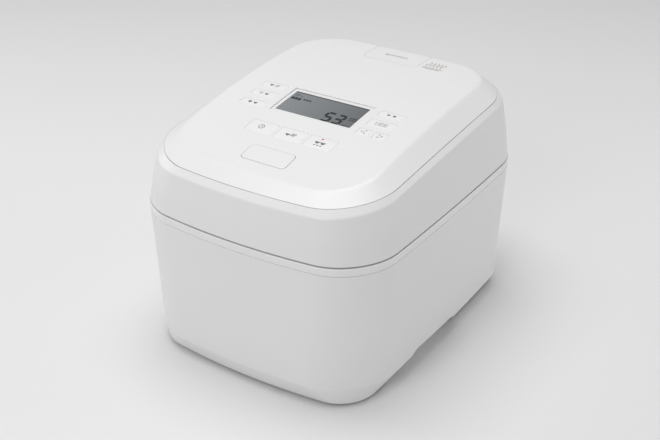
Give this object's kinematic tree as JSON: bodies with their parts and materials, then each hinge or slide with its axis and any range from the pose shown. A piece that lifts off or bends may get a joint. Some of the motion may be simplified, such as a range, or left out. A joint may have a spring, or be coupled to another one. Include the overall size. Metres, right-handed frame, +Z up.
{
  "type": "rice cooker",
  "caption": "White domestic induction rice cooker: deep round-cornered base with finger recesses, sloping rear-hinged lid with display, keys, open button and lift-off steam cap.",
  "frame": {"origin": "centre of the overall footprint, on the surface the cooker stands on", "axes": "+Z up, the front with the open button faces -Y, the lid's hinge is at +Y, +X is the user's right"},
  "size_m": [0.268, 0.3484, 0.235],
  "materials": {
    "white_satin": "moulded, satin",
    "white_gloss": "moulded, glossy",
    "grey_plastic": "moulded, matte",
    "black_plastic": "moulded, matte",
    "rubber": "moulded rubber",
    "silicone": "translucent silicone",
    "steel": "bright steel",
    "aluminium": "natural aluminium",
    "copper": "lacquered stranded copper",
    "ferrite": "sintered, dark grey",
    "circuit_board": "glass epoxy board",
    "pot_coating": "non-stick coating",
    "lens": "clear window over a dark surround",
    "display_glass": "liquid crystal panel"
  },
  "bodies": {
    "base": {"body_shell": "white_satin", "shoulder_ring": "white_gloss", "bottom_cover": "grey_plastic", "foot_front_left": "rubber", "foot_front_right": "rubber", "foot_rear_left": "rubber", "foot_rear_right": "rubber", "cord_outlet": "grey_plastic", "pot_chamber": "grey_plastic", "inner_pot": "pot_coating", "coil_carrier": "black_plastic", "induction_coil_inner": "copper", "induction_coil_outer": "copper", "ferrite_bar_front": "ferrite", "ferrite_bar_rear": "ferrite", "ferrite_bar_left": "ferrite", "ferrite_bar_right": "ferrite", "sensor_seat": "grey_plastic", "sensor_spring": "steel", "side_heater": "aluminium", "inverter_board": "circuit_board", "heat_sink": "aluminium", "fan_housing": "black_plastic", "reel_housing": "grey_plastic", "catch_plate": "steel", "hinge_pin": "steel", "hinge_bracket": "white_satin", "hinge_spring": "steel"},
    "lid": {"lid_frame": "white_satin", "top_panel": "white_satin", "lid_underside": "white_satin", "inner_lid": "steel", "inner_lid_gasket": "silicone", "lid_heater": "aluminium", "display_lens": "lens", "lcd_module": "display_glass", "control_board": "circuit_board", "steam_pocket": "white_satin", "steam_duct": "grey_plastic", "hinge_arm": "white_satin", "latch_pin": "steel", "latch_spring": "steel"},
    "open_button": {"open_button": "white_satin"},
    "latch": {"latch_hook": "grey_plastic"},
    "steam_cap": {"steam_cap": "white_satin", "steam_cap_gasket": "silicone"},
    "valve_ball": {"pressure_ball": "steel"},
    "sensor": {"sensor_plunger": "aluminium"},
    "fan": {"fan_rotor": "black_plastic"},
    "reel": {"reel_drum": "black_plastic"},
    "key_timer": {"key_timer": "white_satin"},
    "key_keep_warm": {"key_keep_warm": "white_satin"},
    "key_cook": {"key_cook": "white_satin"},
    "key_left_rear": {"key_left_rear": "white_satin"},
    "key_left_middle": {"key_left_middle": "white_satin"},
    "key_left_front": {"key_left_front": "white_satin"},
    "key_right_rear": {"key_right_rear": "white_satin"},
    "key_menu": {"key_menu": "white_satin"},
    "key_back": {"key_back": "white_satin"},
    "key_forward": {"key_forward": "white_satin"}
  },
  "joints": [
    {"name": "lid_hinge", "type": "hinge", "parent": "base", "child": "lid", "pos_m": [0, 0.16715, 0.151], "axis": [-1, 0, 0], "range_deg": [0, 85]},
    {"name": "open_button_press", "type": "slide", "parent": "lid", "child": "open_button", "axis": [0, 0.2053, -0.9787], "range_m": [0, 0.003], "stiffness_N_per_m": 600, "springref_m": -0.002},
    {"name": "latch_pivot", "type": "hinge", "parent": "lid", "child": "latch", "pos_m": [0, -0.15335, 0.178], "axis": [-1, 0, 0], "range_deg": [0, 5]},
    {"name": "steam_cap_lift", "type": "slide", "parent": "lid", "child": "steam_cap", "axis": [0, 0, 1], "range_m": [0, 0.04]},
    {"name": "valve_ball_lift", "type": "slide", "parent": "lid", "child": "valve_ball", "axis": [0, 0, 1], "range_m": [0, 0.003]},
    {"name": "sensor_press", "type": "slide", "parent": "base", "child": "sensor", "axis": [0, 0, 1], "range_m": [-0.002, 0], "stiffness_N_per_m": 800, "springref_m": 0.001, "deforming": ["sensor_spring"]},
    {"name": "fan_spin", "type": "hinge", "parent": "base", "child": "fan", "pos_m": [0.058, 0.11265, 0.016], "axis": [0, 0, 1], "continuous": true},
    {"name": "reel_spin", "type": "hinge", "parent": "base", "child": "reel", "pos_m": [-0.062, 0.11765, 0.062], "axis": [0, 1, 0], "continuous": true},
    {"name": "key_timer_press", "type": "slide", "parent": "lid", "child": "key_timer", "axis": [0, 0.1713, -0.9852], "range_m": [0, 0.0007], "stiffness_N_per_m": 900, "springref_m": -0.0006},
    {"name": "key_keep_warm_press", "type": "slide", "parent": "lid", "child": "key_keep_warm", "axis": [0, 0.1713, -0.9852], "range_m": [0, 0.0007], "stiffness_N_per_m": 900, "springref_m": -0.0006},
    {"name": "key_cook_press", "type": "slide", "parent": "lid", "child": "key_cook", "axis": [0, 0.1713, -0.9852], "range_m": [0, 0.0007], "stiffness_N_per_m": 900, "springref_m": -0.0006},
    {"name": "key_left_rear_press", "type": "slide", "parent": "lid", "child": "key_left_rear", "axis": [0, 0.104, -0.9946], "range_m": [0, 0.0007], "stiffness_N_per_m": 900, "springref_m": -0.0006},
    {"name": "key_left_middle_press", "type": "slide", "parent": "lid", "child": "key_left_middle", "axis": [0, 0.1212, -0.9926], "range_m": [0, 0.0007], "stiffness_N_per_m": 900, "springref_m": -0.0006},
    {"name": "key_left_front_press", "type": "slide", "parent": "lid", "child": "key_left_front", "axis": [0, 0.1393, -0.9902], "range_m": [0, 0.0007], "stiffness_N_per_m": 900, "springref_m": -0.0006},
    {"name": "key_right_rear_press", "type": "slide", "parent": "lid", "child": "key_right_rear", "axis": [0, 0.1049, -0.9945], "range_m": [0, 0.0007], "stiffness_N_per_m": 900, "springref_m": -0.0006},
    {"name": "key_menu_press", "type": "slide", "parent": "lid", "child": "key_menu", "axis": [0, 0.1227, -0.9924], "range_m": [0, 0.0007], "stiffness_N_per_m": 900, "springref_m": -0.0006},
    {"name": "key_back_press", "type": "slide", "parent": "lid", "child": "key_back", "axis": [0, 0.1398, -0.9902], "range_m": [0, 0.0007], "stiffness_N_per_m": 900, "springref_m": -0.0006},
    {"name": "key_forward_press", "type": "slide", "parent": "lid", "child": "key_forward", "axis": [0, 0.1403, -0.9901], "range_m": [0, 0.0007], "stiffness_N_per_m": 900, "springref_m": -0.0006}
  ],
  "couplings": [
    {"joint": "latch_pivot", "follows": "open_button_press", "rad_per_m": 27.8}
  ]
}
